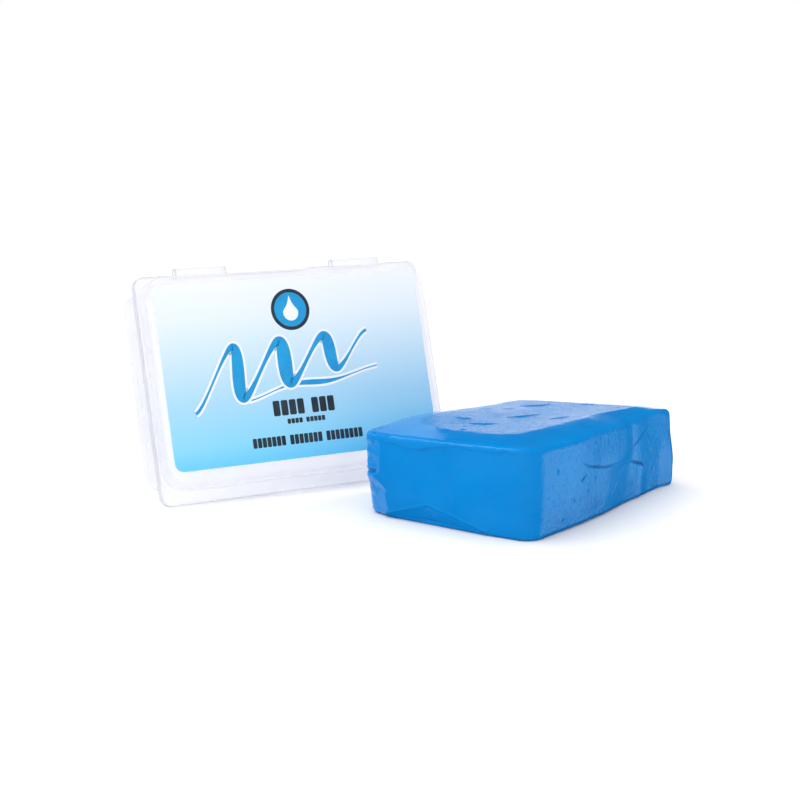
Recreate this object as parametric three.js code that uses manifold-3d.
// A detailing clay bar with its hinged storage case. The case stands tilted back on its own lip and
// tray edge, and the kneadable bar lies in front of it. Millimetres, +Z up, +X along the case.
import * as THREE from 'three';
import { mergeVertices } from 'three/addons/utils/BufferGeometryUtils.js';
import Module from 'manifold-3d';

const wasm = await Module();
wasm.setup();

// ---------------------------------------------------------------------------------------------
// Driving dimensions. The case has its own frame: U along it, V up its face, W out of the label.
// W = 0 is the plane where the lid and the tray meet, and V = 0 is the edge of the opening lip.
// ---------------------------------------------------------------------------------------------
const CASE_LENGTH = 88;
const CASE_WIDTH = 63.4;
const FLANGE_CORNER = 3;
const FLANGE_THICKNESS = 1.2;
const PARTING_GAP = 0.3;

const WALL_SIDE_INSET = 0.8;      // the walls stand this far in from the flange's ends
const WALL_TOP_INSET = 0.8;
const OPENING_LIP = 3.7;          // the flange stands out this far at the edge that opens
const WALL_CORNER = 7;
const WALL = 1.1;
const PANEL = 1.2;

const TRAY_DEPTH = 19.5;
const TRAY_DRAFT = THREE.MathUtils.degToRad(3);
const TRAY_EDGE = 4.5;            // radius round the tray's back
const LID_DEPTH = 6.5;
const LID_DRAFT = THREE.MathUtils.degToRad(2);
const LID_EDGE = 1.2;

const RIM_CLEARANCE = 0.35;       // between the lid's locating rim and the tray's inside
const RIM_WALL = 0.8;
const RIM_REACH = 1.5;            // how far the rim goes into the tray
const RIM_LEDGE = 1.0;

const HINGE_V = 64.2;             // the living hinge bends about this line, at W = 0
const STRAP_OUTER = 1.3;
const STRAP_THICKNESS = 0.45;
const STRAP_INNER_END = 16.4;     // each strap runs between these distances from the middle
const STRAP_OUTER_END = 31.7;
const STRAP_GAP = 0.3;
const RELIEF_END = 8;             // the flange is relieved from the left strap to here

const THUMB_NOTCH_WIDTH = 20;
const THUMB_NOTCH_DEPTH = 1.8;

const LABEL_LENGTH = 80.8;
const LABEL_HEIGHT = 51.2;
const LABEL_CENTRE_U = -0.5;
const LABEL_CENTRE_V = 34.3;
const LABEL_CORNER = 2.5;
const LABEL_THICKNESS = 0.15;
const LABEL_GAP = 0.05;

const BAR_LENGTH = 75.2;
const BAR_WIDTH = 50;
const BAR_HEIGHTS = { near: 23.6, left: 21.5, right: 22.6, back: 19.8 };
const BAR_CORNER = 3.5;
const BAR_EDGE = 2.2;
const BAR_TURN = THREE.MathUtils.degToRad(26.3);
const BAR_CENTRE = { x: 49.2, y: -37.4 }; // from the middle of the lip's contact with the table

// ---------------------------------------------------------------------------------------------
// Materials
// ---------------------------------------------------------------------------------------------
const clearPolypropylene = new THREE.MeshStandardMaterial({ color: 0xf1f0f6, roughness: 0.35, metalness: 0 });
const printedLabel = new THREE.MeshStandardMaterial({ color: 0xbfe4fa, roughness: 0.45, metalness: 0 });
const blueClay = new THREE.MeshStandardMaterial({ color: 0x0284d8, roughness: 0.42, metalness: 0 });

// ---------------------------------------------------------------------------------------------
// Solid helpers
// ---------------------------------------------------------------------------------------------
function solid(geometry) {
  const bare = geometry.clone();
  bare.deleteAttribute('normal');
  bare.deleteAttribute('uv');
  const merged = mergeVertices(bare, 1e-4);
  return new wasm.Manifold(new wasm.Mesh({
    numProp: 3,
    vertProperties: new Float32Array(merged.attributes.position.array),
    triVerts: new Uint32Array(merged.index.array),
  }));
}

function geometryOf(manifold) {
  const mesh = manifold.getMesh();
  const geometry = new THREE.BufferGeometry();
  geometry.setAttribute('position', new THREE.BufferAttribute(new Float32Array(mesh.vertProperties), 3));
  geometry.setIndex(new THREE.BufferAttribute(new Uint32Array(mesh.triVerts), 1));
  geometry.computeVertexNormals();
  return geometry;
}

function boxBetween(low, high) {
  const geometry = new THREE.BoxGeometry(high[0] - low[0], high[1] - low[1], high[2] - low[2]);
  geometry.translate((low[0] + high[0]) / 2, (low[1] + high[1]) / 2, (low[2] + high[2]) / 2);
  return solid(geometry);
}

function roundedRectangle(length, width, radius) {
  const x = length / 2;
  const y = width / 2;
  const shape = new THREE.Shape();
  shape.absarc(x - radius, y - radius, radius, 0, Math.PI / 2);
  shape.absarc(-x + radius, y - radius, radius, Math.PI / 2, Math.PI);
  shape.absarc(-x + radius, -y + radius, radius, Math.PI, 1.5 * Math.PI);
  shape.absarc(x - radius, -y + radius, radius, 1.5 * Math.PI, 2 * Math.PI);
  return shape;
}

// A rectangle in the case's U and V, given by its edges.
function wallOutline(inset) {
  const top = CASE_WIDTH - WALL_TOP_INSET - inset;
  const bottom = OPENING_LIP + inset;
  return {
    length: CASE_LENGTH - 2 * (WALL_SIDE_INSET + inset),
    width: top - bottom,
    middle: (top + bottom) / 2,
    corner: WALL_CORNER - inset,
  };
}

// A block that narrows with depth and is rounded round its far end. It starts square at W = 0 and
// runs along W in the given direction, 1 or -1.
function draftedBlock(outline, depth, draft, edge, direction) {
  const geometry = new THREE.ExtrudeGeometry(roundedRectangle(outline.length, outline.width, outline.corner), {
    depth: depth,
    bevelEnabled: true,
    bevelThickness: edge,
    bevelSize: edge,
    bevelOffset: -edge,
    bevelSegments: 4,
    curveSegments: 6,
  });
  geometry.translate(0, 0, -edge);
  const position = geometry.attributes.position;
  for (let i = 0; i < position.count; i += 1) {
    const narrowing = position.getZ(i) * Math.tan(draft);
    position.setX(i, position.getX(i) * (1 - (2 * narrowing) / outline.length));
    position.setY(i, position.getY(i) * (1 - (2 * narrowing) / outline.width));
  }
  if (direction < 0) {
    geometry.rotateX(Math.PI);
  }
  geometry.translate(0, outline.middle, 0);
  const reach = 2 * CASE_LENGTH;
  const low = direction > 0 ? -reach : 0;
  const high = direction > 0 ? 0 : reach;
  return solid(geometry).subtract(boxBetween([-reach, -reach, low], [reach, reach, high]));
}

// A flat ring with a rounded outline and a rounded hole, between two heights along W.
function ring(outer, inner, low, high) {
  const slab = (outline, from, to) => {
    const geometry = new THREE.ExtrudeGeometry(roundedRectangle(outline.length, outline.width, outline.corner), {
      depth: to - from,
      bevelEnabled: false,
      curveSegments: 6,
    });
    geometry.translate(0, outline.middle, from);
    return solid(geometry);
  };
  return slab(outer, low, high).subtract(slab(inner, low - 1, high + 1));
}

// ---------------------------------------------------------------------------------------------
// Case
// ---------------------------------------------------------------------------------------------
const flangeOutline = {
  length: CASE_LENGTH,
  width: CASE_WIDTH,
  middle: CASE_WIDTH / 2,
  corner: FLANGE_CORNER,
};

// What both flanges leave free at the hinge edge: a bay for each strap, and the relief between them.
function withoutHingeBays(shell) {
  const wallTop = CASE_WIDTH - WALL_TOP_INSET;
  const leftEnd = -STRAP_OUTER_END - STRAP_GAP;
  const rightStart = STRAP_INNER_END - STRAP_GAP;
  const rightEnd = STRAP_OUTER_END + STRAP_GAP;
  const reach = FLANGE_THICKNESS + PARTING_GAP;
  return shell
    .subtract(boxBetween([leftEnd, wallTop, -reach], [RELIEF_END, CASE_WIDTH + 1, reach]))
    .subtract(boxBetween([rightStart, wallTop, -reach], [rightEnd, CASE_WIDTH + 1, reach]));
}

function shellOf(depth, draft, edge, direction) {
  const outer = draftedBlock(wallOutline(0), depth, draft, edge, direction);
  const inner = draftedBlock(wallOutline(WALL), depth - PANEL, draft, edge - WALL / 2, direction);
  const near = PARTING_GAP / 2;
  const far = near + FLANGE_THICKNESS;
  const low = direction > 0 ? near : -far;
  const high = direction > 0 ? far : -near;
  const reach = 2 * CASE_LENGTH;
  const cutLow = direction > 0 ? -reach : -near;
  const cutHigh = direction > 0 ? near : reach;
  const flange = ring(flangeOutline, wallOutline(WALL / 2), low, high);
  return outer
    .subtract(inner)
    .subtract(boxBetween([-reach, -reach, cutLow], [reach, reach, cutHigh]))
    .add(flange);
}

function trayShell() {
  const half = THUMB_NOTCH_WIDTH / 2;
  const thumbNotch = boxBetween(
    [-half, -1, -FLANGE_THICKNESS - PARTING_GAP],
    [half, THUMB_NOTCH_DEPTH, 0],
  );
  return geometryOf(withoutHingeBays(shellOf(TRAY_DEPTH, TRAY_DRAFT, TRAY_EDGE, -1)).subtract(thumbNotch));
}

function lidShell() {
  const rimOuter = wallOutline(WALL + RIM_CLEARANCE);
  const rimInner = wallOutline(WALL + RIM_CLEARANCE + RIM_WALL);
  const start = PARTING_GAP / 2;
  const ledge = ring(wallOutline(WALL / 2), rimInner, start, start + RIM_LEDGE);
  const rim = ring(rimOuter, rimInner, -RIM_REACH, start + RIM_LEDGE);
  return geometryOf(withoutHingeBays(shellOf(LID_DEPTH, LID_DRAFT, LID_EDGE, 1)).add(ledge).add(rim));
}

function label() {
  const geometry = new THREE.ExtrudeGeometry(roundedRectangle(LABEL_LENGTH, LABEL_HEIGHT, LABEL_CORNER), {
    depth: LABEL_THICKNESS,
    bevelEnabled: false,
    curveSegments: 5,
  });
  geometry.translate(LABEL_CENTRE_U, LABEL_CENTRE_V, LID_DEPTH + LABEL_GAP);
  return geometry;
}

// A strap of the living hinge, folded over the two flanges: a half ring with two short legs.
function hingeStrap() {
  const inner = STRAP_OUTER - STRAP_THICKNESS;
  const legEnd = CASE_WIDTH - WALL_TOP_INSET + STRAP_GAP - HINGE_V;
  const section = new THREE.Shape();
  section.moveTo(-STRAP_OUTER, legEnd);
  section.lineTo(-inner, legEnd);
  section.lineTo(-inner, 0);
  section.absarc(0, 0, inner, Math.PI, 0, true);
  section.lineTo(inner, legEnd);
  section.lineTo(STRAP_OUTER, legEnd);
  section.lineTo(STRAP_OUTER, 0);
  section.absarc(0, 0, STRAP_OUTER, 0, Math.PI, false);
  section.closePath();
  const geometry = new THREE.ExtrudeGeometry(section, {
    depth: STRAP_OUTER_END - STRAP_INNER_END,
    bevelEnabled: false,
    curveSegments: 10,
  });
  geometry.rotateY(Math.PI / 2);
  geometry.translate(0, HINGE_V, 0);
  return geometry;
}

// The angle that the case leans back at, standing on its lip and on the tray's rounded back edge.
function leanOfCase() {
  const lipBack = PARTING_GAP / 2 + FLANGE_THICKNESS;
  const edgeDepth = TRAY_DEPTH - TRAY_EDGE;
  const along = edgeDepth - lipBack;
  const up = OPENING_LIP + edgeDepth * Math.tan(TRAY_DRAFT) + TRAY_EDGE;
  return Math.atan2(up, along) - Math.asin(TRAY_EDGE / Math.hypot(up, along));
}

// ---------------------------------------------------------------------------------------------
// Clay
// ---------------------------------------------------------------------------------------------
// The pressed block: rounded all round and a little lower towards its back corner.
function clayBar() {
  const height = Math.max(...Object.values(BAR_HEIGHTS));
  const geometry = new THREE.ExtrudeGeometry(roundedRectangle(BAR_LENGTH, BAR_WIDTH, BAR_CORNER), {
    depth: height - 2 * BAR_EDGE,
    bevelEnabled: true,
    bevelThickness: BAR_EDGE,
    bevelSize: BAR_EDGE,
    bevelOffset: -BAR_EDGE,
    bevelSegments: 4,
    curveSegments: 5,
  });
  geometry.translate(0, 0, BAR_EDGE);
  const position = geometry.attributes.position;
  for (let i = 0; i < position.count; i += 1) {
    const along = position.getX(i) / BAR_LENGTH + 0.5;
    const across = position.getY(i) / BAR_WIDTH + 0.5;
    const front = BAR_HEIGHTS.near * (1 - along) + BAR_HEIGHTS.right * along;
    const rear = BAR_HEIGHTS.left * (1 - along) + BAR_HEIGHTS.back * along;
    const top = front * (1 - across) + rear * across;
    position.setZ(i, (position.getZ(i) * top) / height);
  }
  return geometry;
}

// ---------------------------------------------------------------------------------------------
// Assembly
// ---------------------------------------------------------------------------------------------
function named(name, geometry, material) {
  const mesh = new THREE.Mesh(geometry, material);
  mesh.name = name;
  return mesh;
}

function storageCase() {
  const group = new THREE.Group();
  group.add(named('tray_shell', trayShell(), clearPolypropylene));
  group.add(named('lid_shell', lidShell(), clearPolypropylene));
  group.add(named('lid_label', label(), printedLabel));
  for (const [name, start] of [['hinge_strap_left', -STRAP_OUTER_END], ['hinge_strap_right', STRAP_INNER_END]]) {
    const strap = named(name, hingeStrap(), clearPolypropylene);
    strap.position.x = start;
    group.add(strap);
  }
  group.rotation.x = Math.PI / 2 - leanOfCase();
  return group;
}

const assembly = new THREE.Group();
const caseGroup = storageCase();
caseGroup.updateMatrixWorld(true);
caseGroup.position.z = -new THREE.Box3().setFromObject(caseGroup, true).min.z;
assembly.add(caseGroup);

const bar = named('clay_bar', clayBar(), blueClay);
bar.rotation.z = BAR_TURN;
bar.position.set(BAR_CENTRE.x, BAR_CENTRE.y, 0);
assembly.add(bar);

// The origin is the middle of the underside of the box round everything.
assembly.updateMatrixWorld(true);
const extent = new THREE.Box3().setFromObject(assembly, true);
assembly.position.set(-(extent.min.x + extent.max.x) / 2, -(extent.min.y + extent.max.y) / 2, -extent.min.z);

export default assembly;
